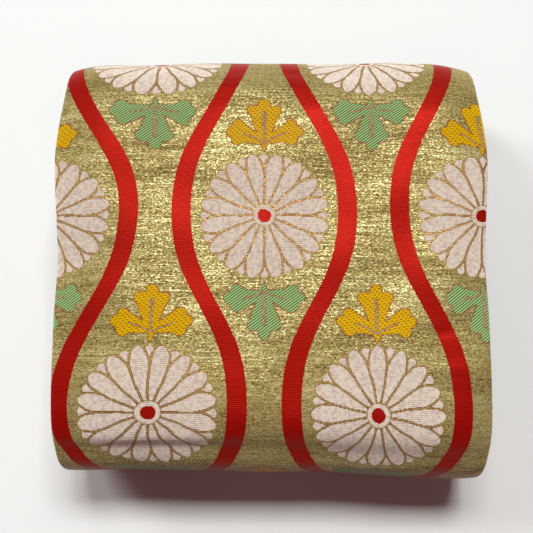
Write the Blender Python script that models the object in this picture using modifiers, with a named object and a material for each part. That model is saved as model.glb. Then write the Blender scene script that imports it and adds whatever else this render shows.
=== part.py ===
"""Obi sash: a lined brocade sash of one width, rolled flat into a package that lies face up.

X runs across the cloth, from edge to edge. +Y points to the far fold and -Y to the near fold.
The cloth's outer end lies on the underside. From there the outer turn runs to the near fold,
over the top, round the far fold and back under, where it rises over its own end and goes on
inwards as the second turn. Each turn lies one pitch inside the turn before it.
The origin is the bottom centre of the package.
"""
import math

import bmesh
import bpy

# The cloth
CLOTH_WIDTH = 0.311  # finished width of the sash, edge to edge
FRONT_WALL = 0.0015  # the brocade
LINING_WALL = 0.0010
PLY = 0.0052  # one turn through its edge: front, interlining and lining
EDGE_TURN = 0.0065  # the front's edges are turned this far over the back
SEAM_GAP = 0.0003

# The package
ROLL_HEIGHT = 0.1135
NEAR_RUN = 0.0920  # from the middle line to the start of the near fold
FAR_RUN = 0.0950  # from the middle line to the start of the far fold
NEAR_REACH = 0.0670  # how far the near fold stands out past its run
FAR_REACH = 0.0640
EQUATOR = 0.0510  # height at which both folds stand out furthest
TURNS = 7
LOW_PITCH = 0.0073  # from turn to turn under the core
HIGH_PITCH = 0.0090  # from turn to turn over the core
REACH_LOSS = 0.146  # share of a fold's reach lost at each turn inwards

# One turn is four parts: 0-1 the underside, 1-2 near fold, 2-3 the top, 3-4 far fold
PARTS = 4
RISE = 0.16  # share of the underside in which a turn rises by one pitch
OUTER_END = 0.17  # where the cloth's outer end lies, in parts from the far fold
OUTER_TURN_END = PARTS + 0.25
INNER_TURNS_START = PARTS + 0.27
INNER_END = PARTS * TURNS - 1.0

# The filled heart of the package
EDGE_DEPTH = 0.010  # the layered edges stand this far out of it
HEART_GAP = 0.0008  # between it and the outer turn's lining
HEART_START = PARTS + 0.255  # it clears the outer turn's inner end

# How the package has settled
EDGE_START = 0.120  # beyond this the cloth droops to its edges
EDGE_DRAW = 0.040  # share by which the edges are drawn in to the core
NEAR_SKEW = 0.018  # the near fold stands out further at its +X end
NEAR_NARROW = 0.030  # share of the width lost at the near fold
CROWN = 0.0015  # rise of the top between the folds

COLUMNS = (0.0, 0.40, 0.77, 0.87, 0.95, 1.0)  # shares of the half width, close at the drooping edges
EDGE_STEPS = 4


def clear_scene():
    for thing in list(bpy.data.objects):
        bpy.data.objects.remove(thing, do_unlink=True)


def smooth(share):
    """0 to 1 with level ends."""
    share = min(max(share, 0.0), 1.0)
    return share * share * (3 - 2 * share)


def path_point(progress):
    """(y, z) of the cloth's outer face, at a progress counted in parts from the far fold."""
    turn, part = divmod(progress, PARTS)
    level = turn - 1 + smooth(part / RISE) if turn else 0.0
    low = EQUATOR - LOW_PITCH * level
    high = ROLL_HEIGHT - EQUATOR - HIGH_PITCH * level
    keep = 1 - REACH_LOSS * level
    run = NEAR_RUN + FAR_RUN
    if part < 1:
        return FAR_RUN - run * part, EQUATOR - low
    if part < 2:
        angle = math.pi * (part - 1)
        rise = low if part < 1.5 else high
        return -NEAR_RUN - NEAR_REACH * keep * math.sin(angle), EQUATOR - rise * math.cos(angle)
    if part < 3:
        return run * (part - 2) - NEAR_RUN, EQUATOR + high
    angle = math.pi * (part - 3)
    rise = high if part < 3.5 else low
    return FAR_RUN + FAR_REACH * keep * math.sin(angle), EQUATOR + rise * math.cos(angle)


def inside_point(progress, depth):
    """(y, z) at a depth inside the cloth's outer face."""
    nudge = 1e-4
    y, z = path_point(progress)
    y_before, z_before = path_point(max(progress - nudge, 0.0))
    y_after, z_after = path_point(progress + nudge)
    length = math.hypot(y_after - y_before, z_after - z_before)
    toward_core = ((z_after - z_before) / length, (y_before - y_after) / length)
    return y + depth * toward_core[0], z + depth * toward_core[1]


def stations(first, last):
    """Progress values from first to last, close together on the folds and on the rises."""
    marks = []
    for turn in range(TURNS):
        fold_steps = 14 - turn
        spans = ((0, RISE, 4), (RISE, 1, 4), (1, 2, fold_steps), (2, 3, 5), (3, 4, fold_steps))
        for begin, end, steps in spans:
            marks += [PARTS * turn + begin + (end - begin) * k / steps for k in range(steps)]
    clear = 0.02
    return [first, *(m for m in marks if first + clear < m < last - clear), last]


def settled(x, y, z):
    """Where a point of the evenly rolled package comes to rest."""
    middle = ROLL_HEIGHT / 2
    half = CLOTH_WIDTH / 2
    droop = max(0.0, (abs(x) - EDGE_START) / (half - EDGE_START))
    keep = 1 - EDGE_DRAW * droop * droop
    z = middle + (z - middle) * keep
    z *= 1 + CROWN / ROLL_HEIGHT * (1 - (y / (FAR_RUN + FAR_REACH)) ** 2)
    narrow = NEAR_NARROW * smooth((0.02 - y) / 0.12)
    skew = NEAR_SKEW * x / half if y < 0 else 0.0
    return x * (1 - narrow), y * keep * (1 + skew), z


def columns(half):
    """Places across a width, from -half to half."""
    return [-share * half for share in reversed(COLUMNS[1:])] + [share * half for share in COLUMNS]


def front_section():
    """(x, depth) across the front cloth: turned edge, face, turned edge."""
    half = CLOTH_WIDTH / 2
    bend = PLY / 2
    left = [(-(half - EDGE_TURN), PLY)]
    for k in range(EDGE_STEPS):
        angle = math.pi * k / EDGE_STEPS
        left.append((-(half - bend) - bend * math.sin(angle), bend + bend * math.cos(angle)))
    right = [(-x, depth) for x, depth in reversed(left)]
    return left + [(x, 0.0) for x in columns(half - bend)] + right


def lining_section():
    """(x, depth) across the lining, which lies between the front's turned edges."""
    return [(x, PLY - LINING_WALL) for x in columns(CLOTH_WIDTH / 2 - EDGE_TURN - SEAM_GAP)]


def inner_section():
    """(x, depth) across an inner turn's outer face."""
    half = CLOTH_WIDTH / 2 - SEAM_GAP
    return [(-half, 0.0), (half, 0.0)]


def cloth(name, section, marks, wall, collection):
    """A wall of cloth with this section, wound along these stations."""
    bm = bmesh.new()
    across, along = len(section) - 1, len(marks) - 1
    bmesh.ops.create_grid(bm, x_segments=across, y_segments=along, size=1.0)
    for vert in bm.verts:
        x, depth = section[round((vert.co.x + 1) / 2 * across)]
        progress = marks[round((vert.co.y + 1) / 2 * along)]
        y, z = inside_point(progress, depth)
        vert.co = (x, y, z)
    mesh = bpy.data.meshes.new(name)
    bm.to_mesh(mesh)
    bm.free()
    piece = bpy.data.objects.new(name, mesh)
    collection.objects.link(piece)
    solidify = piece.modifiers.new("wall", "SOLIDIFY")
    solidify.thickness = wall
    solidify.offset = -1.0
    solidify.use_even_offset = True
    return piece


def heart(name, collection):
    """The closed body of the hidden layers, clear of the outer turn all round."""
    half = CLOTH_WIDTH / 2 - EDGE_DEPTH
    depth = PLY + HEART_GAP
    under = [m for m in stations(OUTER_END, OUTER_TURN_END) if m > HEART_START - PARTS]
    outline = [inside_point(m, depth) for m in (HEART_START - PARTS, *under, HEART_START)]
    bm = bmesh.new()
    face = bm.faces.new([bm.verts.new((-half, y, z)) for y, z in outline])
    swept = bmesh.ops.extrude_face_region(bm, geom=[face])
    moved = [v for v in swept["geom"] if isinstance(v, bmesh.types.BMVert)]
    bmesh.ops.translate(bm, verts=moved, vec=(2 * half, 0, 0))
    bmesh.ops.recalc_face_normals(bm, faces=bm.faces)
    mesh = bpy.data.meshes.new(name)
    bm.to_mesh(mesh)
    bm.free()
    piece = bpy.data.objects.new(name, mesh)
    collection.objects.link(piece)
    piece.hide_render = True
    piece.display_type = "WIRE"
    return piece


def made_mesh(piece):
    """Turns an object with modifiers into the plain mesh that they give."""
    evaluated = piece.evaluated_get(bpy.context.evaluated_depsgraph_get())
    mesh = bpy.data.meshes.new_from_object(evaluated)
    piece.modifiers.clear()
    old = piece.data
    piece.data = mesh
    bpy.data.meshes.remove(old)
    mesh.name = piece.name


def settle(pieces):
    """Lets the pieces settle together, and puts the package's bottom centre at the origin."""
    for piece in pieces:
        for vert in piece.data.vertices:
            vert.co = settled(*vert.co)
    places = [vert.co for piece in pieces for vert in piece.data.vertices]
    low = [min(co[axis] for co in places) for axis in range(3)]
    high = [max(co[axis] for co in places) for axis in range(3)]
    shift = ((low[0] + high[0]) / 2, (low[1] + high[1]) / 2, low[2])
    for vert in (v for piece in pieces for v in piece.data.vertices):
        vert.co = [vert.co[axis] - shift[axis] for axis in range(3)]


def finish(piece, colour, roughness, metallic):
    """The piece's own material, and smooth shading over its soft bends."""
    material = bpy.data.materials.new(piece.name)
    material.use_nodes = True
    shader = material.node_tree.nodes["Principled BSDF"]
    shader.inputs["Base Color"].default_value = (*colour, 1.0)
    shader.inputs["Roughness"].default_value = roughness
    shader.inputs["Metallic"].default_value = metallic
    material.diffuse_color = (*colour, 1.0)
    piece.data.materials.clear()
    piece.data.materials.append(material)
    piece.data.shade_smooth()
    piece.data.set_sharp_from_angle(angle=math.radians(40))


def main():
    clear_scene()
    sash = bpy.data.collections.new("obi_sash")
    cutters = bpy.data.collections.new("obi_sash_cutters")
    for collection in (sash, cutters):
        bpy.context.scene.collection.children.link(collection)

    outer_marks = stations(OUTER_END, OUTER_TURN_END)
    inner_marks = stations(INNER_TURNS_START, INNER_END)
    front = cloth("outer_turn_front", front_section(), outer_marks, FRONT_WALL, sash)
    lining = cloth("outer_turn_lining", lining_section(), outer_marks, LINING_WALL, sash)
    inner = cloth("inner_turns", inner_section(), inner_marks, PLY, sash)
    join = inner.modifiers.new("heart", "BOOLEAN")
    join.operation = "UNION"
    join.solver = "EXACT"
    join.object = heart("inner_turns_heart", cutters)

    pieces = [front, lining, inner]
    bpy.context.view_layer.update()
    for piece in pieces:
        made_mesh(piece)
    settle(pieces)
    finish(front, (0.48, 0.36, 0.12), 0.45, 0.6)
    finish(lining, (0.62, 0.52, 0.33), 0.6, 0.0)
    finish(inner, (0.52, 0.42, 0.22), 0.6, 0.2)


main()
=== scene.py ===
"""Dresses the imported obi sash: gold brocade with red waves, chrysanthemums and leaves, wound flat.

Everything is in metres in the frame's own axes. X runs across the cloth, +Y to the far fold.
"""

import math

import bpy
import numpy as np
from mathutils import Euler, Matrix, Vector


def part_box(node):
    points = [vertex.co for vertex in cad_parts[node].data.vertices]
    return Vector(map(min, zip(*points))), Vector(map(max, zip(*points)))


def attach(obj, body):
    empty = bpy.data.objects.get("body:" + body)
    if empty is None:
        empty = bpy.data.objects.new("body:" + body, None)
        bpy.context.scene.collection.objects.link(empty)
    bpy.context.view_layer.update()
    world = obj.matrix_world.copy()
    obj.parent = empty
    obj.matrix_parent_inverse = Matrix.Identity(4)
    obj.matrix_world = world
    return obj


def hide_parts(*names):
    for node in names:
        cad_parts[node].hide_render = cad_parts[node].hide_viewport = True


bl_info = {
    "name": "Wound Obi Sash",
    "version": (1, 0, 0),
    "blender": (4, 5, 0),
    "location": "View3D > Sidebar > Obi Sash",
    "description": "Weaves and winds a lined brocade sash around its packed solids",
    "category": "Add Mesh",
}

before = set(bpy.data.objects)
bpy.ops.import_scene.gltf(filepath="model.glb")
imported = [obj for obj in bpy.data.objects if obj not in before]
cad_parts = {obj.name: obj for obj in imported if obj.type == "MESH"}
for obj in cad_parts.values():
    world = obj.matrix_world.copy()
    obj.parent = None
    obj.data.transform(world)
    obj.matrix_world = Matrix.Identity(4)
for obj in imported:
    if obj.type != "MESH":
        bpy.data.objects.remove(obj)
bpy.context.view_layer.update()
FRONT_LOW, FRONT_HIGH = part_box("outer_turn_front")

# The winding around the solids
WIDTH = FRONT_HIGH.x - FRONT_LOW.x
CROWN = 0.0015  # how much higher the middle of the top stands
HEIGHT = FRONT_HIGH.z - FRONT_LOW.z - CROWN
NEAR_RUN, FAR_RUN = 0.0900, 0.0950  # the flat stretch, from the middle to each fold
NEAR_REACH, FAR_REACH = 0.0712, 0.0617  # how far each fold stands out past it
SHOULDER = 2.4  # 2 is round; more is squarer over the near fold
EQUATOR = 0.0510  # height of the foremost part of a fold
PLY = 0.0052  # a folded edge, from the front's face to its back
PARTS = 4  # of a turn: underside, near fold, top, far fold
TURNS = 7
LOW_PITCH, HIGH_PITCH = 0.0073, 0.0090  # from one turn to the next, below and above the equator
REACH_LOSS = 0.146  # share of a fold's reach that each turn inwards loses
RISE = 0.16  # share of the underside in which a turn climbs to the next
OUTER_END = 0.17  # where along the winding the loose end lies, in parts
OUTER_TURN_END = PARTS + 0.25
INNER_TURNS_START = PARTS + 0.27
INNER_END = PARTS * TURNS - 1.0
ROUTE_POINTS = 12000

# How it has settled
EDGE_START = 0.120  # beyond here the edges draw in
EDGE_DRAW = 0.040  # share of the height lost at the edges
FAR_DRAW, NEAR_DRAW = 0.040, 0.012  # and of the reach of each fold
NEAR_SKEW, NEAR_BOW = 0.019, 0.020  # how much further the near fold reaches at its right end, and at both
NEAR_SLACK = 0.0040  # how far the near fold bulges past the solid's
SQUEEZE_START = 0.085  # beyond here the near end is pushed in
SQUEEZE = 0.0026  # and by this much at the edge
WAVY_START = 0.110  # beyond here the edges wander
EDGE_WAVES = (
    # along, reach, outwards
    (0.066, 0.030, 0.0030),
    (-0.014, 0.030, -0.0024),
    (0.118, 0.020, -0.0010),
)

# The cut of the cloth
BEND = PLY / 2  # radius of the front's turned edges
TURNED_EDGE = 0.0030  # flat part of the front's edge that lies on the back
SEAM_GAP = 0.0004  # from the turned edge to the lining
LINING_HALF = WIDTH / 2 - BEND - TURNED_EDGE - SEAM_GAP
LINING_WALL = 0.0008
INNER_NARROWER = 0.998  # the inner turns stand this share as wide
CLOTH_STEP = 0.0030
INNER_STEP = CLOTH_STEP * 1.3
HIDDEN_FACE_STEP, HIDDEN_LINING_STEP = 0.30, 0.05  # across the hidden turns, where nothing shows
ARC_STEPS = 8

# Soft creases: where they lie on the cloth, how far they reach, how high they stand, their turn
CREASES = (
    # across, along, reach across, reach along, rise, turn in degrees
    (0.0, 0.150, 0.400, 0.0450, 0.0024, 0),
    (0.0, -0.149, 0.400, 0.0170, 0.0018, 0),
    (0.0, -0.172, 0.400, 0.0120, -0.0025, 0),
    (-0.085, -0.158, 0.065, 0.0045, 0.0010, 2),
    (-0.080, -0.168, 0.060, 0.0050, -0.0012, 1),
    (0.120, -0.083, 0.020, 0.0035, -0.0007, 12),
    (0.128, -0.122, 0.022, 0.0040, -0.0008, -8),
    (0.135, -0.108, 0.022, 0.0040, 0.0006, -4),
    (-0.010, 0.100, 0.110, 0.0060, 0.0006, 1),
    (0.040, 0.118, 0.090, 0.0050, -0.0006, -1),
    (0.060, 0.200, 0.070, 0.0060, 0.0009, 4),
    (-0.070, 0.215, 0.060, 0.0050, -0.0009, -3),
    (0.020, -0.235, 0.090, 0.0050, -0.0008, 2),
    (-0.060, -0.262, 0.060, 0.0050, 0.0008, -3),
)
# Long soft unevenness: waves over the cloth
UNDULATIONS = (
    # per metre across, per metre along, phase, height
    (7.0, 3.0, 0.4, 0.0006),
    (13.0, -9.0, 2.1, 0.0003),
    (3.0, 17.0, 4.0, 0.0003),
)

# The figures
FLOWER_X, FLOWER_Y = -0.0050, 0.0210  # the flower nearest the middle of the top
PETALS = 16
PETAL_TIP = 0.27  # share of a petal that is its round tip
DISC_RADIUS, RING_RADIUS, EYE_RADIUS = 0.0048, 0.0077, 0.0086
OUTLINE = 0.00085  # half the width of the edged gold line round a petal
GOLD_CORE = 0.00042  # half the width of its gold
BACK_REACH = 0.985  # how far the petals behind reach, as a share of those in front
LEAF_START = 0.0488  # from a flower's centre to a leaf's stem
WAVE_REACH = 0.0205  # how far a red band swings to each side
WAVE_PHASE = 0.005
WAVE_FULLNESS = 0.18  # how much longer it lingers at each side
WIDE_LEFT, FAR_WIDER = 0.0062, 1.4  # how far the left column is drawn out, and how much more beyond it
WIDE_FROM, WIDE_TO = 0.060, 0.122  # where to the left that starts and is full
HAND = 0.0022  # how far the drawing strays, twice over
HAND_SCALE = 62.0  # and how often it does so, per metre
PICK = 0.00065  # one weft
END = 0.00050  # one warp
FLOAT = 0.00140  # from one float of the petals to the next
TWILL, TWILL_SLOPE = 0.0011, 0.85  # the red's ribs, and their slope
STRIPE, STRIPE_SLOPE = 0.00205, 0.72  # the green leaves' stripes
STITCH_ROW, STITCH_SLANT, STITCH_LENGTH = 0.0019, 0.0085, 0.0033  # the yellow leaves' stitches
RIB = 0.0008  # the lining's ribs
# How often the threads change, per metre across, and per metre or per weft along
FINE = (900.0, 1500.0)
STREAK = (38.0, 3.37)
DASH = (460.0, 5.71)
FLECK = (600.0, 1500.0)
LONG_TONE = (9.0, 42.0)
FLOAT_STEP = (330.0, 5.31)
LINE_MIX = (700.0, 900.0)
SLUB = (60.0, 900.0)
THREAD_HEIGHT, RIB_HEIGHT = 0.00018, 0.0002

# The light and the camera
WINDOW_AWAY, WINDOW_HEIGHT = 6.0, 1.3
WINDOWS = (
    # name, degrees off the vertical towards the far side and to the right, width, power
    ("left_window", 24.3, -44.0, 2.8, 205.0),
    ("middle_window", 24.3, -4.0, 1.6, 190.0),
    ("right_window", 24.3, 8.5, 1.6, 235.0),
    ("low_window", 50.0, -4.0, 4.0, 75.0),
)
DAYLIGHT = (0.965, 1.0, 0.99)
BOUNCE_PLACE, BOUNCE_LEAN, BOUNCE_SIZE = (0, -0.75, 1.30), 30.0, (1.0, 0.6)
BOUNCE_POWER, BOUNCE_COLOUR = 2.4, (1.0, 0.36, 0.42)
FILL_STRENGTH = 0.05
BACKDROP = (0.55, 0.55, 0.54, 1.0)
FLOOR_SIZE = 6.0
CAMERA_PLACE, CAMERA_TILT = (-0.0034, -0.1350, 0.6870), 0.2042
CAMERA_LENS, CAMERA_SENSOR = 55.8, 36.0


def linear(red, green, blue):
    """Display values from 0 to 255 as the scene's linear colour."""
    shares = (value / 255 for value in (red, green, blue))
    return tuple(s / 12.92 if s <= 0.04045 else ((s + 0.055) / 1.055) ** 2.4 for s in shares)


# ---------------------------------------------------------------- settings


class SashSizes(bpy.types.PropertyGroup):
    """Sizes of the figures and of the cloth"""

    repeat_across: bpy.props.FloatProperty(
        name="Repeat Across", description="From flower to flower across the cloth",
        default=0.157, min=0.05, unit="LENGTH")
    repeat_along: bpy.props.FloatProperty(
        name="Row Spacing", description="From one row of flowers to the next along the cloth",
        default=0.1395, min=0.05, unit="LENGTH")
    flower_radius: bpy.props.FloatProperty(
        name="Flower Radius", description="From a flower's centre to its petal tips",
        default=0.0472, min=0.01, unit="LENGTH")
    band_width: bpy.props.FloatProperty(
        name="Band Width", description="Width of the red wavy bands",
        default=0.0138, min=0.001, unit="LENGTH")
    cloth_wall: bpy.props.FloatProperty(
        name="Cloth Thickness", description="Thickness of the brocade",
        default=0.0011, min=0.0003, unit="LENGTH")


class SashColours(bpy.types.PropertyGroup):
    """Colours of the threads"""

    gold_light: bpy.props.FloatVectorProperty(
        name="Light Gold", description="Where the gold threads shine", subtype="COLOR",
        default=linear(155, 140, 83), min=0, max=1)
    gold_dark: bpy.props.FloatVectorProperty(
        name="Dark Gold", description="Between the gold threads", subtype="COLOR",
        default=linear(66, 48, 22), min=0, max=1)
    # Painted highlight: a pale colour laid over the brightest gold threads as painted glints; these
    # threads also shine more as metal.
    painted_glint: bpy.props.FloatVectorProperty(
        name="Glint", description="The brightest gold threads", subtype="COLOR",
        default=linear(172, 170, 146), min=0, max=1)
    red: bpy.props.FloatVectorProperty(
        name="Red", description="Bands and flower centres", subtype="COLOR",
        default=linear(148, 14, 8), min=0, max=1)
    petal: bpy.props.FloatVectorProperty(
        name="Petal", description="Petals and the ring in each flower", subtype="COLOR",
        default=linear(194, 182, 168), min=0, max=1)
    green: bpy.props.FloatVectorProperty(
        name="Green", description="Lighter thread of the green leaves", subtype="COLOR",
        default=linear(154, 180, 120), min=0, max=1)
    yellow: bpy.props.FloatVectorProperty(
        name="Yellow", description="The yellow leaves", subtype="COLOR",
        default=linear(198, 164, 4), min=0, max=1)
    lining: bpy.props.FloatVectorProperty(
        name="Lining", description="The plain lining", subtype="COLOR",
        default=linear(173, 158, 127), min=0, max=1)


# ---------------------------------------------------------------- shader maths


class Value:
    """A shader socket whose operators add Math nodes."""

    def __init__(self, shader, socket):
        self.shader = shader
        self.socket = socket

    def math(self, operation, *others):
        values = dict(enumerate((self, *others)))
        return self.shader.node("ShaderNodeMath", {"operation": operation}, values)

    def __add__(self, other):
        return self.math("ADD", other)

    __radd__ = __add__

    def __mul__(self, other):
        return self.math("MULTIPLY", other)

    __rmul__ = __mul__

    def __sub__(self, other):
        return self.math("SUBTRACT", other)

    def __rsub__(self, other):
        return self * -1.0 + other

    def __truediv__(self, other):
        return self.math("DIVIDE", other)

    def __lt__(self, other):
        return self.math("LESS_THAN", other)

    def __gt__(self, other):
        return self.math("GREATER_THAN", other)

    def __abs__(self):
        return self.math("ABSOLUTE")

    def wrap(self, half):
        """The value brought into -half to half by whole periods."""
        return self.math("WRAP", half, -half)


class Shader:
    """A material with a Principled surface, and the nodes that feed it."""

    def __init__(self, name):
        self.material = bpy.data.materials.new(name)
        self.material.use_nodes = True
        self.tree = self.material.node_tree
        self.surface = self.tree.nodes["Principled BSDF"]

    def feed(self, socket, value):
        """Links a Value to a socket, or sets anything else on it."""
        if isinstance(value, Value):
            self.tree.links.new(value.socket, socket)
        else:
            socket.default_value = value

    def node(self, kind, settings=None, values=None, output=0):
        """A node of this kind: its settings, what its sockets take, and which output is used."""
        made = self.tree.nodes.new(kind)
        for key, value in (settings or {}).items():
            setattr(made, key, value)
        for key, value in (values or {}).items():
            self.feed(made.inputs[key], value)
        return Value(self, made.outputs[output])

    def constant(self, values):
        """The Principled surface's own sockets that are the same all over."""
        for key, value in values.items():
            self.surface.inputs[key].default_value = value

    def output(self, values):
        """What varies over the surface."""
        for key, value in values.items():
            self.feed(self.surface.inputs[key], value)

    def cloth_place(self):
        """(across, along) of a point on the cut cloth."""
        place = self.node("ShaderNodeUVMap", {"uv_map": "cloth"})
        across = self.node("ShaderNodeSeparateXYZ", values={0: place})
        return across, Value(self, across.socket.node.outputs[1])

    def noise(self, u, v, often, detail=2.0, roughness=0.5):
        """Noise from 0 to 1 that changes so often across and along."""
        vector = self.node("ShaderNodeCombineXYZ", values={0: u * often[0], 1: v * often[1]})
        values = {"Vector": vector, "Scale": 1.0, "Detail": detail, "Roughness": roughness}
        return self.node("ShaderNodeTexNoise", {"noise_dimensions": "2D"}, values)

    def soft(self, value, low, high, to_low=0.0, to_high=1.0):
        """Rises from to_low to to_high as the value goes from low to high."""
        settings = {"interpolation_type": "SMOOTHSTEP"}
        values = {0: value, 1: low, 2: high, 3: to_low, 4: to_high}
        return self.node("ShaderNodeMapRange", settings, values)

    def pick(self, first, second, share):
        """first where share is 0, second where it is 1."""
        return self.node("ShaderNodeMix", {"data_type": "FLOAT"}, {0: share, 2: first, 3: second})

    def blend(self, first, second, share):
        """One colour over another."""
        colours = {6: (*first, 1.0) if isinstance(first, tuple) else first,
                   7: (*second, 1.0) if isinstance(second, tuple) else second}
        return self.node("ShaderNodeMix", {"data_type": "RGBA"}, {0: share, **colours}, output=2)

    def bump(self, height, distance, strength=1.0):
        """A normal from a height, where 1 stands this distance out."""
        values = {"Height": height, "Distance": distance, "Strength": strength}
        return self.node("ShaderNodeBump", values=values)


def darker(colour, shares):
    """A colour with each of its parts times its share."""
    return tuple(part * share for part, share in zip(colour, shares))


def disc_distance(x, y, centre_x, centre_y, radius):
    """From a point to a disc's rim, below 0 inside."""
    across, up = x - centre_x, y - centre_y
    return (across * across + up * up).math("SQRT") - radius


def bar_distance(x, y, start, end, start_radius, end_radius):
    """From a point to the rim of a round-ended tapering bar, below 0 inside."""
    run = (end[0] - start[0], end[1] - start[1])
    square = run[0] ** 2 + run[1] ** 2
    across, up = x - start[0], y - start[1]
    along = across * (run[0] / square) + up * (run[1] / square)
    along = along.math("MAXIMUM", 0.0).math("MINIMUM", 1.0)
    off_x, off_y = across - along * run[0], up - along * run[1]
    radius = along * (end_radius - start_radius) + start_radius
    return (off_x * off_x + off_y * off_y).math("SQRT") - radius


# ---------------------------------------------------------------- the figures

# One leaf, from its stem outwards; what is off the middle stands on both sides
LEAF_LOBES = (
    # across, out, radius
    (0.0, 0.0361, 0.0044),
    (0.0080, 0.0308, 0.0044),
    (0.0198, 0.0197, 0.0043),
    (0.0243, 0.0146, 0.0042),
    (0.0192, 0.0084, 0.0048),
)
LEAF_BLADES = (
    # from, to, radius at each end
    ((0.0, 0.0000), (0.0, 0.0070), 0.0008, 0.0030),
    ((0.0, 0.0120), (0.0, 0.0258), 0.0046, 0.0102),
    ((0.0030, 0.0085), (0.0178, 0.0138), 0.0034, 0.0080),
)
LEAF_VEINS = (
    # from, to
    ((0.0, 0.0058), (0.0008, 0.0300)),
    ((0.0, 0.0058), (0.0070, 0.0100)),
    ((0.0070, 0.0100), (0.0150, 0.0133)),
)
LOBE_BLEND = 0.0010  # how softly one lobe runs into the next
VEIN, VEIN_RIM = 0.00036, 0.00045  # half the width of a vein, and the brown beside it
LEAF_RIM = 0.00040  # half the width of the brown line round a leaf
GREEN_LATER = 0.0010  # the green leaf starts this much further out
GREEN_DROOP = 0.17  # and its side lobes lean back by this slope


def leaf_distances(x, y):
    """(outline distance, vein distance) of a leaf whose stem is at 0, 0."""
    side = abs(x)
    shapes = [disc_distance(side, y, *lobe) for lobe in LEAF_LOBES]
    shapes += [bar_distance(side, y, *blade) for blade in LEAF_BLADES]
    outline = shapes[0]
    for shape in shapes[1:]:
        outline = outline.math("SMOOTH_MIN", shape, LOBE_BLEND)
    veins = [bar_distance(side, y, *ends, VEIN, VEIN) for ends in LEAF_VEINS]
    vein = veins[0]
    for other in veins[1:]:
        vein = vein.math("MINIMUM", other)
    return outline, vein


def petal_distance(shader, radius, turn, reach):
    """From a point to the nearest petal's rim: a narrow wedge with a long round tip."""
    step = 2 * math.pi / PETALS
    half = step / 2
    tip = PETAL_TIP * reach
    centre = reach - tip
    broad = math.tan(half) * math.sqrt(centre ** 2 - tip ** 2)
    angle = (turn.math("FRACT") - 0.5) * step
    out, off = radius * angle.math("COSINE"), abs(radius * angle.math("SINE"))
    side = off * math.cos(half) - out * math.sin(half)
    tip_out = (out - centre) / tip
    tip_off = off / broad
    size = (tip_out * tip_out + tip_off * tip_off).math("SQRT")
    steep_out, steep_off = tip_out / tip, tip_off / broad
    steep = (steep_out * steep_out + steep_off * steep_off).math("SQRT").math("MAXIMUM", 1.0)
    round_end = size * (size - 1.0) / steep
    join = (centre ** 2 - tip ** 2) / (centre * math.cos(half))
    at_tip = (out * math.cos(half) + off * math.sin(half)) > join
    return shader.pick(side, round_end, at_tip)


def drawn_places(s, sizes, u, v):
    """(x, y) from the nearest flower, 1 in the first column, 0 or 1 by turns, 1 in a red band."""
    # the left column is drawn wider than the rest
    across, along = sizes.repeat_across, sizes.repeat_along
    swell = 0.5 - (v * (math.pi / along)).math("COSINE") * 0.5
    near_swell = swell.math("POWER", 3.0)
    far_swell = (1.0 - (1.0 - swell).math("POWER", 3.0)) * FAR_WIDER
    wide = s.soft(u * -1.0, WIDE_FROM, WIDE_TO) * s.pick(near_swell, far_swell, v > 0.0)
    u = u + wide * WIDE_LEFT

    # every figure steps from thread to thread
    row = (v / PICK).math("FLOOR")
    shift = row.math("MODULO", 2.0) * 0.5
    column = (u / END + shift).math("FLOOR")
    stepped_u, stepped_v = (column + 0.5 - shift) * END, (row + 0.5) * PICK

    first_x = stepped_u.wrap(across / 2)
    second_x = (stepped_u - across / 2).wrap(across / 2)
    first_y = stepped_v.wrap(along)
    second_y = (stepped_v - along).wrap(along)
    swing = ((stepped_v - WAVE_PHASE) * (math.pi / along)).math("COSINE")
    swing = swing * (1.0 + WAVE_FULLNESS - swing * swing * WAVE_FULLNESS)
    band_x = swing * WAVE_REACH + across / 4
    in_first = abs(first_x) < band_x
    band = abs(abs(first_x) - band_x) < sizes.band_width / 2
    x = s.pick(second_x, first_x, in_first)
    y = s.pick(second_y, first_y, in_first)
    cell = (stepped_u / across).math("FLOOR").math("PINGPONG", 1.0)

    # drawn by hand: nothing is quite even
    often = (HAND_SCALE, HAND_SCALE)
    x = x + (s.noise(u, v, often, detail=1.0) - 0.5) * HAND
    y = y + (s.noise(u + 0.7, v, often, detail=1.0) - 0.5) * HAND
    return x, y, in_first, cell, band


def flower(s, sizes, x, y, in_first, cell):
    """(petals, red disc, gold lines, distance from the middle of a line)."""
    # every second flower of the second column is turned by half a petal
    radius = (x * x + y * y).math("SQRT")
    turned = (1.0 - in_first) * (1.0 - cell) * 0.5
    turn = x.math("ARCTAN2", y) * (PETALS / (2 * math.pi)) + turned
    front = petal_distance(s, radius, turn, sizes.flower_radius)
    back = petal_distance(s, radius, turn + 0.5, sizes.flower_radius * BACK_REACH)
    behind = front > OUTLINE
    petal = (front < -OUTLINE).math("MAXIMUM", behind * (back < -OUTLINE * 0.8))
    petal = (petal * (radius > EYE_RADIUS)).math("MAXIMUM", radius < RING_RADIUS)
    line = (front.math("MINIMUM", back) < GOLD_CORE * 0.6).math("MAXIMUM", radius < EYE_RADIUS)
    edge = s.pick(abs(front), abs(back), behind)
    edge = s.pick(edge, abs(radius - (RING_RADIUS + EYE_RADIUS) / 2), radius < EYE_RADIUS + GOLD_CORE)
    return petal, radius < DISC_RADIUS, line, edge


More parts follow.
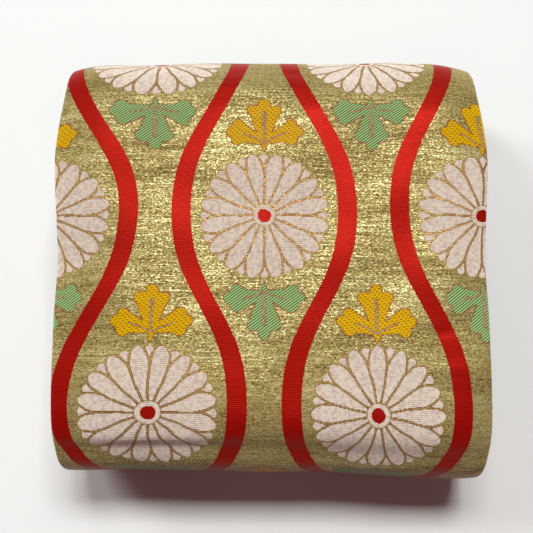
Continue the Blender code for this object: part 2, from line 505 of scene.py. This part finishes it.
def gold_threads(s, colours, u, v, row):
    """(colour, share of bright thread, share of painted glints, thread height) of the gold ground."""
    streak = s.noise(u, row, STREAK, detail=2.0, roughness=0.6)
    dashes = s.noise(u, row, DASH, detail=2.0, roughness=0.6)
    fleck = s.noise(u, v, FLECK, detail=2.0, roughness=0.65)
    long_tone = s.noise(u, v, LONG_TONE, detail=3.0)
    shine = dashes * 0.9 + fleck * 0.65 + streak * 0.55 + long_tone * 0.35
    bright = s.soft(shine, 0.82, 1.46)
    gold = s.blend(tuple(colours.gold_dark), tuple(colours.gold_light), bright)
    # Painted highlight: pale glints laid into the gold's colour where its threads shine most.
    painted_glint = s.soft(shine, 1.24, 1.56)
    gold = s.blend(gold, tuple(colours.painted_glint), painted_glint * 0.6)
    return gold, bright, painted_glint, streak, dashes * 0.55 + fleck * 0.3


def petal_floats(s, colours, u, v):
    """(colour, gap between floats) of the petals."""
    float_row = (v / FLOAT).math("FLOOR")
    float_step = s.noise(u, float_row, FLOAT_STEP, detail=2.0)
    gap = s.soft(abs((v / FLOAT).math("FRACT") - 0.5), 0.22, 0.42)
    share = gap * s.soft(float_step, 0.42, 0.56) + s.soft(float_step, 0.5, 0.75) * 0.3
    dark = darker(colours.petal, (0.60, 0.50, 0.49))
    return s.blend(tuple(colours.petal), dark, share), gap


def leaf_threads(s, colours, u, v, fine, streak, is_yellow):
    """(colour, stripe) of the leaves: slanting green stripes, or yellow with brown stitches."""
    stripe = ((v - u * STRIPE_SLOPE) * (2 * math.pi / STRIPE)).math("SINE")
    green_dark = darker(colours.green, (0.16, 0.26, 0.18))
    green = s.blend(green_dark, tuple(colours.green), s.soft(stripe + fine * 0.8 - 0.4, -0.55, 0.75))

    dash_v = v / STITCH_ROW - u / STITCH_SLANT
    dash_u = (u / STITCH_LENGTH + dash_v.math("FLOOR") * 0.5).math("FRACT") - 0.5
    dash = (abs(dash_v.math("FRACT") - 0.5) < 0.2) * (abs(dash_u) < 0.27)
    yellow_dark = darker(colours.yellow, (0.80, 0.72, 0.6))
    yellow = s.blend(tuple(colours.yellow), yellow_dark, s.soft(fine + streak * 0.4, 0.5, 0.9))
    yellow = s.blend(yellow, linear(132, 52, 10), dash * 0.8)
    return s.blend(green, yellow, is_yellow), stripe


def brocade(sizes, colours):
    """Gold ground with red waves, chrysanthemums, green and yellow leaves."""
    s = Shader("obi_brocade")
    u, v = s.cloth_place()
    x, y, in_first, cell, band = drawn_places(s, sizes, u, v)
    petal, disc, line, edge = flower(s, sizes, x, y, in_first, cell)

    # the leaves: yellow beyond the flower, green before it
    is_yellow = y > 0.0
    leaf_y = abs(y) - LEAF_START + (abs(x) * GREEN_DROOP - GREEN_LATER) * (1.0 - is_yellow)
    leaf, vein = leaf_distances(x, leaf_y)
    is_leaf = leaf < 0.0

    # the threads
    row = (v / PICK).math("FLOOR")
    fine = s.noise(u, v, FINE, detail=1.0)
    gold, bright, painted_glint, streak, thread_height = gold_threads(s, colours, u, v, row)
    leaf_colour, stripe = leaf_threads(s, colours, u, v, fine, streak, is_yellow)
    petal_colour, gap = petal_floats(s, colours, u, v)
    twill = ((u * TWILL_SLOPE + v) * (2 * math.pi / TWILL)).math("SINE")
    red_dark = darker(colours.red, (0.72, 0.72, 0.72))
    red = s.blend(red_dark, tuple(colours.red), twill * 0.16 + fine * 0.5 + 0.2)

    # the lines round the figures
    line_mix = s.soft(s.noise(u, v, LINE_MIX, detail=1.0), 0.42, 0.62)
    line_gold = s.blend(linear(152, 135, 78), linear(120, 97, 52), line_mix)
    reddish = s.soft(line_mix * fine, 0.35, 0.6)
    line_brown = s.blend(linear(117, 73, 48), linear(143, 52, 38), reddish)
    line_colour = s.blend(line_gold, line_brown, s.soft(edge, GOLD_CORE * 0.8, GOLD_CORE * 1.3))
    vein_colour = s.blend(linear(166, 152, 120), linear(135, 96, 66), line_mix)

    colour = gold
    for over, share in (
        (leaf_colour, is_leaf),
        (line_brown, (abs(leaf) < LEAF_RIM) * 0.85),
        (line_brown, (vein < VEIN_RIM) * is_leaf * 0.7),
        (vein_colour, (vein < 0.0) * is_leaf),
        (line_colour, line),
        (petal_colour, petal),
        (red, disc),
        (red, band),
    ):
        colour = s.blend(colour, over, share)

    # gold shines as metal, silk less so
    all_red = disc.math("MAXIMUM", band)
    silk = petal.math("MAXIMUM", is_leaf).math("MAXIMUM", all_red)
    metal = s.pick(bright * 0.16 + painted_glint * 0.3 + 0.04, all_red * 0.22, silk)
    rough = s.pick(s.soft(painted_glint + bright * 0.4, 0.0, 1.2, 0.42, 0.28), 0.34, silk)

    pick_wave = (v * (2 * math.pi / PICK)).math("SINE")
    gold_height = pick_wave * 0.10 + thread_height + fine * 0.2
    silk_height = gap * -0.5 + stripe * is_leaf * (1.0 - is_yellow) * 0.3 + fine * 0.3 + 0.9
    normal = s.bump(s.pick(gold_height, silk_height, silk), THREAD_HEIGHT, 0.9)

    s.output({"Base Color": colour, "Metallic": metal, "Roughness": rough, "Normal": normal})
    s.constant({
        "Diffuse Roughness": 1.0,
        "Specular IOR Level": 0.06,
        "Specular Tint": (1.0, 0.54, 0.38, 1.0),
    })
    return s.material


def lining_satin(colours):
    """Plain satin with a fine weft rib."""
    s = Shader("obi_lining")
    u, v = s.cloth_place()
    rib = (v * (2 * math.pi / RIB)).math("SINE")
    slub = s.noise(u, v, SLUB, detail=2.0)
    dark = darker(colours.lining, (0.72, 0.72, 0.72))
    colour = s.blend(dark, tuple(colours.lining), s.soft(slub + rib * 0.1, 0.3, 0.7))
    s.output({"Base Color": colour, "Normal": s.bump(rib * 0.4 + slub, RIB_HEIGHT)})
    s.constant({"Roughness": 0.5, "Sheen Weight": 0.2})
    return s.material


# ---------------------------------------------------------------- the winding


def smooth(share):
    """0 to 1 with soft ends."""
    share = np.clip(share, 0.0, 1.0)
    return share * share * (3 - 2 * share)


def wound(progress):
    """(y, z) of the cloth's outer face before it settles, for an array of progress values."""
    turn = np.floor(progress / PARTS)
    part = progress - PARTS * turn
    level = np.where(turn > 0, turn - 1 + smooth(part / RISE), 0.0)
    low, high = EQUATOR - LOW_PITCH * level, HEIGHT - EQUATOR - HIGH_PITCH * level
    keep = 1 - REACH_LOSS * level
    run = NEAR_RUN + FAR_RUN
    near, far = math.pi * (part - 1), math.pi * (part - 3)
    near_rise, far_rise = np.where(part < 1.5, low, high), np.where(part < 3.5, high, low)
    stretches = [part < 1, part < 2, part < 3]
    square = np.where(part < 1.5, 1.0, 2 / SHOULDER)
    near_out = np.abs(np.sin(near)) ** square
    near_up = np.sign(np.cos(near)) * np.abs(np.cos(near)) ** square
    y = np.select(stretches, [FAR_RUN - run * part, -NEAR_RUN - NEAR_REACH * keep * near_out,
                              run * (part - 2) - NEAR_RUN], FAR_RUN + FAR_REACH * keep * np.sin(far))
    z = np.select(stretches, [EQUATOR - low, EQUATOR - near_rise * near_up, EQUATOR + high],
                  EQUATOR + far_rise * np.cos(far))
    return y, z


def settled(points):
    """Where points of the evenly wound cloth come to rest."""
    x, y, z = points.T
    half, middle = WIDTH / 2, HEIGHT / 2
    droop = np.clip((np.abs(x) - EDGE_START) / (half - EDGE_START), 0.0, None) ** 2
    z = middle + (z - middle) * (1 - EDGE_DRAW * droop)
    z = z * (1 + CROWN / HEIGHT * (1 - (y / (FAR_RUN + FAR_REACH)) ** 2))
    draw = NEAR_DRAW + (FAR_DRAW - NEAR_DRAW) * smooth((y + 0.05) / 0.10)
    squeeze = np.clip((np.abs(x) - SQUEEZE_START) / (half - SQUEEZE_START), 0.0, None) ** 2
    inward = SQUEEZE * squeeze * smooth((0.02 - y) / 0.12)
    skew = (NEAR_SKEW * x / half + NEAR_BOW * (x / half) ** 2) * smooth((0.02 - y) / 0.14)
    wavy = np.clip((np.abs(x) - WAVY_START) / (half - WAVY_START), 0.0, None) ** 1.5
    outward = sum(out * np.exp(-((y - at) / reach) ** 2) for at, reach, out in EDGE_WAVES) * wavy
    x = x + np.sign(x) * (outward - inward)
    return np.stack([x, y * (1 - draw * droop) * (1 + skew), z], axis=1)


class Winding:
    """The cloth's route through the package, read by length along it."""

    def __init__(self):
        self.progress = np.linspace(OUTER_END, INNER_END, ROUTE_POINTS)
        self.y, self.z = wound(self.progress)
        steps = np.hypot(np.diff(self.y), np.diff(self.z))
        self.length = np.concatenate([[0.0], np.cumsum(steps)])
        along_y, along_z = np.gradient(self.y), np.gradient(self.z)
        size = np.hypot(along_y, along_z)
        self.in_y, self.in_z = along_z / size, -along_y / size
        across = np.linspace(-WIDTH / 2, WIDTH / 2, 200)
        foremost = [np.full_like(across, place) for place in (-NEAR_RUN - NEAR_REACH, EQUATOR)]
        near = settled(np.stack([across, *foremost], axis=1))[:, 1].min()
        self.shift_y = FRONT_LOW.y - NEAR_SLACK - near
        on_top = (self.progress > 2) & (self.progress < 3)
        flower = np.interp(FLOWER_Y - self.shift_y, self.y[on_top], self.length[on_top])
        self.length -= flower

    def at(self, progress):
        """Length along the cloth, from the flower nearest the middle of the top."""
        return float(np.interp(progress, self.progress, self.length))

    def place(self, x, along, depth):
        """Points at these places across, lengths along and depths inside the outer face."""
        y = np.interp(along, self.length, self.y) + depth * np.interp(along, self.length, self.in_y)
        z = np.interp(along, self.length, self.z) + depth * np.interp(along, self.length, self.in_z)
        points = settled(np.stack([x, y, z], axis=1))
        points[:, 1] += self.shift_y
        return points


WINDING = Winding()


def relief(x, along):
    """How far the cloth stands out of its even run: creases and long soft waves."""
    rise = np.zeros_like(x)
    for across, length, reach_x, reach_y, height, turn in CREASES:
        cosine, sine = math.cos(math.radians(turn)), math.sin(math.radians(turn))
        off_x, off_y = x - across, along - length
        p, q = off_x * cosine + off_y * sine, off_y * cosine - off_x * sine
        rise += height * np.exp(-(p / reach_x) ** 2 - (q / reach_y) ** 2)
    for per_x, per_y, phase, height in UNDULATIONS:
        rise += height * np.sin(2 * math.pi * (per_x * x + per_y * along) + phase)
    return rise


def grounded(along):
    """1 on the top and the folds, 0 where the cloth lies on the surface."""
    start, end = WINDING.at(1.0), WINDING.at(PARTS - 0.1)
    return smooth((along - start) / 0.03) * smooth((end - along) / 0.03)


def section(cut):
    """(x, depth) of places on the cut front, measured across it from its middle line."""
    face = WIDTH / 2 - BEND
    past = np.abs(cut) - face
    angle = np.clip(past / BEND, 0.0, math.pi)
    back = np.clip(past - math.pi * BEND, 0.0, TURNED_EDGE)
    x = np.minimum(np.abs(cut), face) + BEND * np.sin(angle) - back
    return np.sign(cut) * x, BEND * (1 - np.cos(angle))


# ---------------------------------------------------------------- making pieces


def deselect():
    bpy.ops.object.select_all(action="DESELECT")


def cloth_grid(name, columns, rows):
    """A primitive grid whose columns and rows lie at these places on the cut cloth, with its map."""
    deselect()
    across_steps, along_steps = len(columns) - 1, len(rows) - 1
    bpy.ops.mesh.primitive_grid_add(x_subdivisions=across_steps, y_subdivisions=along_steps, size=2.0)
    piece = bpy.context.active_object
    piece.name = piece.data.name = name
    mesh = piece.data
    places = np.zeros(len(mesh.vertices) * 3)
    mesh.vertices.foreach_get("co", places)
    places = places.reshape(-1, 3)
    column = np.rint((places[:, 0] + 1) / 2 * across_steps).astype(int)
    row = np.rint((places[:, 1] + 1) / 2 * along_steps).astype(int)
    cut, along = np.asarray(columns)[column], np.asarray(rows)[row]
    corners = np.zeros(len(mesh.loops), dtype=int)
    mesh.loops.foreach_get("vertex_index", corners)
    while mesh.uv_layers:
        mesh.uv_layers.remove(mesh.uv_layers[0])
    layer = mesh.uv_layers.new(name="cloth")
    flat = np.stack([cut - FLOWER_X, along], axis=1)[corners]
    layer.uv.foreach_set("vector", flat.astype(np.float32).ravel())
    return piece, cut, along


def set_places(piece, points):
    """Moves the piece's points to these places."""
    piece.data.vertices.foreach_set("co", points.astype(np.float32).ravel())
    piece.data.update()


def wall(piece, thickness):
    """Gives an open cloth its thickness, inwards."""
    bpy.context.view_layer.objects.active = piece
    solidify = piece.modifiers.new("wall", "SOLIDIFY")
    solidify.thickness = thickness
    solidify.offset = -1.0
    bpy.ops.object.modifier_apply(modifier=solidify.name)


def finish(piece, material, nodes):
    """Covers a piece with its material, hangs it under the root and hides the parts it stands in for."""
    piece.data.materials.clear()
    piece.data.materials.append(material)
    piece.data.shade_smooth()
    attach(piece, "root")
    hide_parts(*nodes)


def spaced(low, high, step):
    """Even places from low to high, about a step apart."""
    return np.linspace(low, high, max(2, round((high - low) / step) + 1))


def front_columns(step):
    """Places across the cut front: turned edge, bend, face, bend, turned edge."""
    face = WIDTH / 2 - BEND
    back = face + math.pi * BEND
    turned = [back + TURNED_EDGE / 2, back + TURNED_EDGE]
    side = np.concatenate([np.linspace(face, back, ARC_STEPS + 1), turned])
    return np.concatenate([-side[::-1], spaced(-face, face, step)[1:-1], side])


def wound_lining(name, step, rows):
    """A wound lining that stops inside the front's turned edges."""
    piece, x, along = cloth_grid(name, spaced(-LINING_HALF, LINING_HALF, step), rows)
    set_places(piece, WINDING.place(x, along, np.full_like(x, PLY - LINING_WALL)))
    wall(piece, LINING_WALL)
    return piece


class OBI_OT_front(bpy.types.Operator):
    """Winds the figured front cloth of the outer turn"""

    bl_idname = "obi.front"
    bl_label = "Front Cloth"

    def execute(self, context):
        sizes = context.scene.obi_sizes
        columns = front_columns(CLOTH_STEP)
        start, end = WINDING.at(OUTER_END), WINDING.at(OUTER_TURN_END)
        piece, cut, along = cloth_grid("front_cloth", columns, spaced(start, end, CLOTH_STEP))
        x, depth = section(cut)
        face = 1 - depth / PLY
        set_places(piece, WINDING.place(x, along, depth - relief(x, along) * grounded(along) * face))
        wall(piece, sizes.cloth_wall)
        finish(piece, brocade(sizes, context.scene.obi_colours), ["outer_turn_front"])
        return {"FINISHED"}


class OBI_OT_lining(bpy.types.Operator):
    """Winds the plain lining inside the outer turn"""

    bl_idname = "obi.lining"
    bl_label = "Lining"

    def execute(self, context):
        start, end = WINDING.at(OUTER_END), WINDING.at(OUTER_TURN_END)
        rows = spaced(start, end, CLOTH_STEP)
        piece = wound_lining("lining_cloth", CLOTH_STEP * 2, rows)
        finish(piece, lining_satin(context.scene.obi_colours), ["outer_turn_lining"])
        return {"FINISHED"}


class OBI_OT_inner_turns(bpy.types.Operator):
    """Winds the layered edges of turns two to seven"""

    bl_idname = "obi.inner_turns"
    bl_label = "Inner Turns"

    def execute(self, context):
        start, end = WINDING.at(INNER_TURNS_START), WINDING.at(INNER_END)
        rows = spaced(start, end, INNER_STEP)
        columns = front_columns(HIDDEN_FACE_STEP)
        piece, cut, along = cloth_grid("inner_cloth", columns, rows)
        x, depth = section(cut)
        set_places(piece, WINDING.place(x * INNER_NARROWER, along, depth))
        wall(piece, context.scene.obi_sizes.cloth_wall)
        finish(piece, bpy.data.materials["obi_brocade"], ["inner_turns"])

        lining = wound_lining("inner_lining", HIDDEN_LINING_STEP, rows)
        finish(lining, bpy.data.materials["obi_lining"], ["inner_turns"])
        return {"FINISHED"}


def add_light(name, place, turn, size, power, colour):
    """A soft rectangular light."""
    bpy.ops.object.light_add(type="AREA", location=place, rotation=turn)
    light = bpy.context.active_object
    light.name = name
    light.data.shape = "RECTANGLE"
    light.data.size, light.data.size_y = size
    light.data.energy = power
    light.data.color = colour


def soft_room(scene):
    """Faint light from all round, behind a pale backdrop."""
    world = bpy.data.worlds.new("soft_room")
    scene.world = world
    world.use_nodes = True
    room = world.node_tree
    fill = room.nodes["Background"]
    fill.inputs["Color"].default_value = (*linear(255, 226, 228), 1.0)
    fill.inputs["Strength"].default_value = FILL_STRENGTH
    seen = room.nodes.new("ShaderNodeBackground")
    seen.inputs["Color"].default_value = BACKDROP
    path = room.nodes.new("ShaderNodeLightPath")
    mix = room.nodes.new("ShaderNodeMixShader")
    room.links.new(path.outputs["Is Camera Ray"], mix.inputs[0])
    room.links.new(fill.outputs[0], mix.inputs[1])
    room.links.new(seen.outputs[0], mix.inputs[2])
    room.links.new(mix.outputs[0], room.nodes["World Output"].inputs["Surface"])


class OBI_OT_stage(bpy.types.Operator):
    """Sets the pale floor, the soft light and the camera"""

    bl_idname = "obi.stage"
    bl_label = "Stage"

    def execute(self, context):
        deselect()
        bpy.ops.mesh.primitive_plane_add(size=FLOOR_SIZE, location=(0, 0, 0))
        floor = context.active_object
        floor.name = "floor"
        paper = Shader("pale_floor")
        pale = (*linear(197, 197, 196), 1.0)
        paper.constant({"Base Color": pale, "Roughness": 0.9, "Specular IOR Level": 0.1})
        floor.data.materials.append(paper.material)

        for name, lean, swing, width, power in WINDOWS:
            turn = Euler((-math.radians(lean), math.radians(swing), 0))
            away = turn.to_matrix() @ Vector((0, 0, WINDOW_AWAY))
            add_light(name, away, turn, (width, WINDOW_HEIGHT), power, DAYLIGHT)
        lean_back = (math.radians(BOUNCE_LEAN), 0, 0)
        add_light("warm_bounce", BOUNCE_PLACE, lean_back, BOUNCE_SIZE, BOUNCE_POWER, BOUNCE_COLOUR)
        soft_room(context.scene)

        bpy.ops.object.camera_add(location=CAMERA_PLACE, rotation=(CAMERA_TILT, 0, 0))
        camera = context.active_object
        camera.name = "camera"
        camera.data.sensor_width = CAMERA_SENSOR
        camera.data.lens = CAMERA_LENS
        camera.data.clip_start, camera.data.clip_end = 0.01, 20.0
        context.scene.camera = camera
        context.scene.view_settings.view_transform = "Standard"
        return {"FINISHED"}


class OBI_PT_panel(bpy.types.Panel):
    """Lists the sash's pieces and their settings"""

    bl_idname = "OBI_PT_panel"
    bl_label = "Obi Sash"
    bl_space_type = "VIEW_3D"
    bl_region_type = "UI"
    bl_category = "Obi Sash"

    def draw(self, context):
        for settings in (context.scene.obi_sizes, context.scene.obi_colours):
            box = self.layout.box()
            for name in settings.__annotations__:
                box.prop(settings, name)
        for operator in OPERATORS:
            self.layout.operator(operator.bl_idname)


OPERATORS = (OBI_OT_front, OBI_OT_lining, OBI_OT_inner_turns, OBI_OT_stage)
CLASSES = (SashSizes, SashColours, *OPERATORS, OBI_PT_panel)


def register():
    for kind in CLASSES:
        bpy.utils.register_class(kind)
    bpy.types.Scene.obi_sizes = bpy.props.PointerProperty(type=SashSizes)
    bpy.types.Scene.obi_colours = bpy.props.PointerProperty(type=SashColours)


def unregister():
    del bpy.types.Scene.obi_colours
    del bpy.types.Scene.obi_sizes
    for kind in reversed(CLASSES):
        bpy.utils.unregister_class(kind)


def main():
    register()
    bpy.ops.obi.front()
    bpy.ops.obi.lining()
    bpy.ops.obi.inner_turns()
    bpy.ops.obi.stage()


if __name__ == "__main__":
    main()
